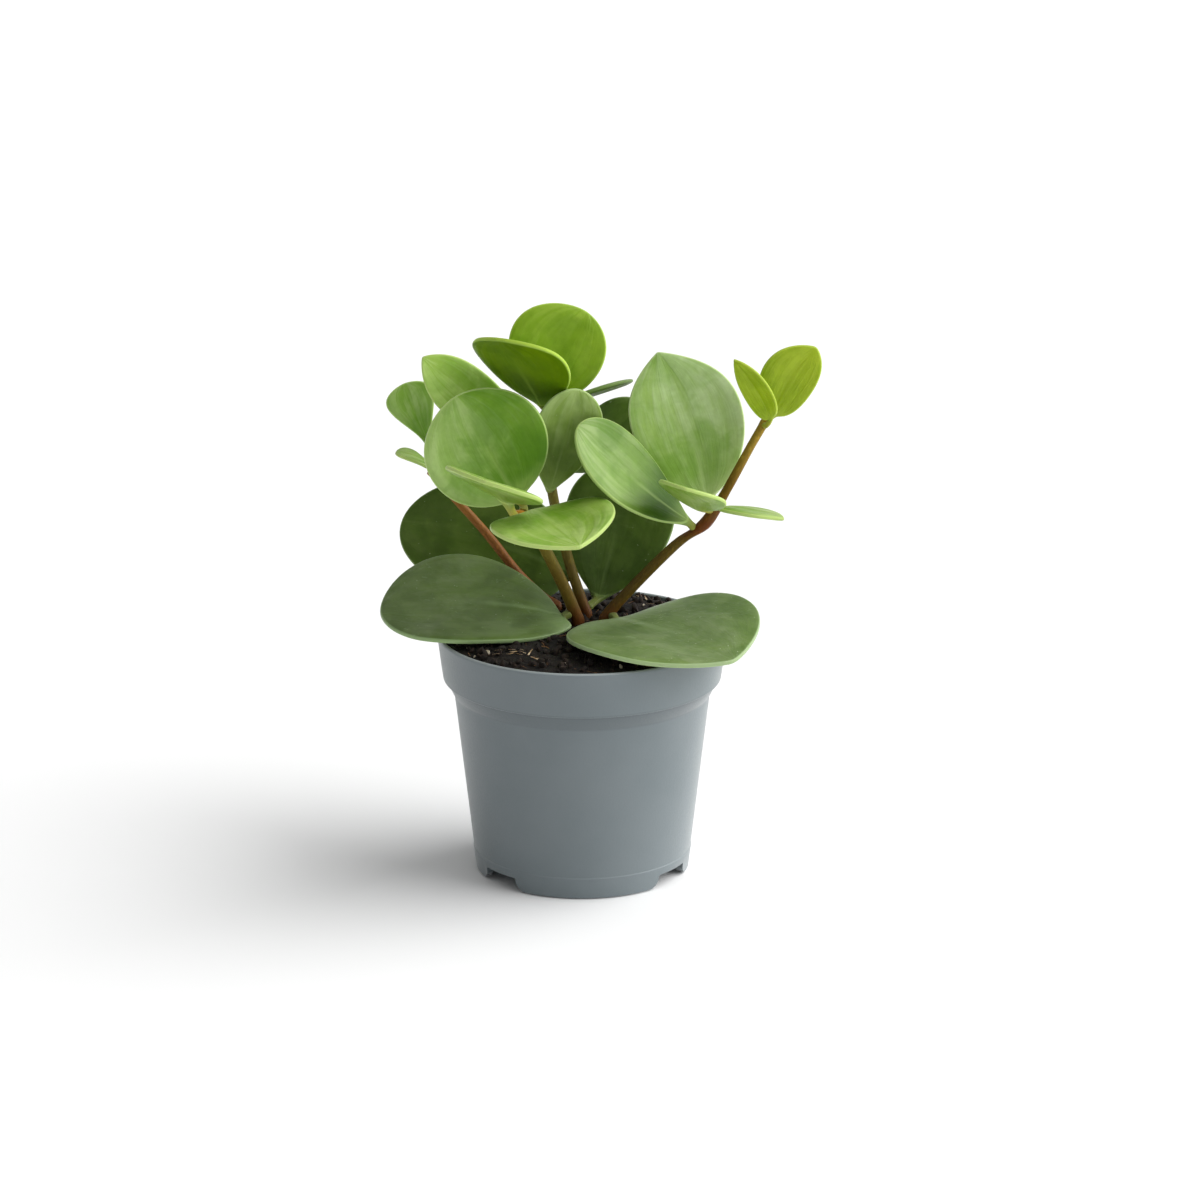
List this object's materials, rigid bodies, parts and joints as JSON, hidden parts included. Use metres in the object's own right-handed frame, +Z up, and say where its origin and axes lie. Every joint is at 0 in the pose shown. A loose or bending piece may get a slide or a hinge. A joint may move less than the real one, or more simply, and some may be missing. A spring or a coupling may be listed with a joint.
{
  "type": "potted peperomia plant",
  "caption": "Young peperomia with thick rounded leaves on leaning stems, growing in a small tapered nursery pot that stands on notched feet.",
  "frame": {"origin": "middle of the bounding box on the ground that the pot stands on; the pot's axis stands at x = -3.7 mm, y = -1.6 mm", "axes": "+Z up along the pot's axis; -Y towards the viewer of the picture, the side that the lowest right leaf and the level leaf reach out to; +X to the viewer's right"},
  "size_m": [0.0906, 0.0635, 0.1156],
  "materials": {
    "plastic": "matte, blue-grey",
    "peat": "loose, dark and fibrous",
    "stem": "smooth, red-brown to olive",
    "old_leaf": "waxy satin, dark grey-green",
    "grown_leaf": "waxy satin, mid green",
    "young_leaf": "waxy satin, yellow-green"
  },
  "bodies": {
    "root": {"pot": "plastic", "soil": "peat", "stem_left": "stem", "stem_front": "stem", "stem_middle": "stem", "stem_right": "stem", "leaf_low_left": "old_leaf", "leaf_low_right": "old_leaf", "leaf_low_back_left": "old_leaf", "leaf_low_back_right": "old_leaf", "leaf_middle_back": "old_leaf", "leaf_left_up": "grown_leaf", "leaf_left_back": "grown_leaf", "leaf_front_disc": "grown_leaf", "leaf_front_edge_on": "grown_leaf", "leaf_front_level": "grown_leaf", "leaf_middle_olive": "grown_leaf", "leaf_top_left": "grown_leaf", "leaf_top_side": "grown_leaf", "leaf_right_big": "grown_leaf", "leaf_right_inner": "grown_leaf", "leaf_right_front": "grown_leaf", "leaf_right_outer": "grown_leaf", "leaf_left_small": "young_leaf", "leaf_top_back": "young_leaf", "leaf_top_front": "young_leaf", "leaf_tip_small": "young_leaf", "leaf_tip_big": "young_leaf"}
  },
  "joints": []
}
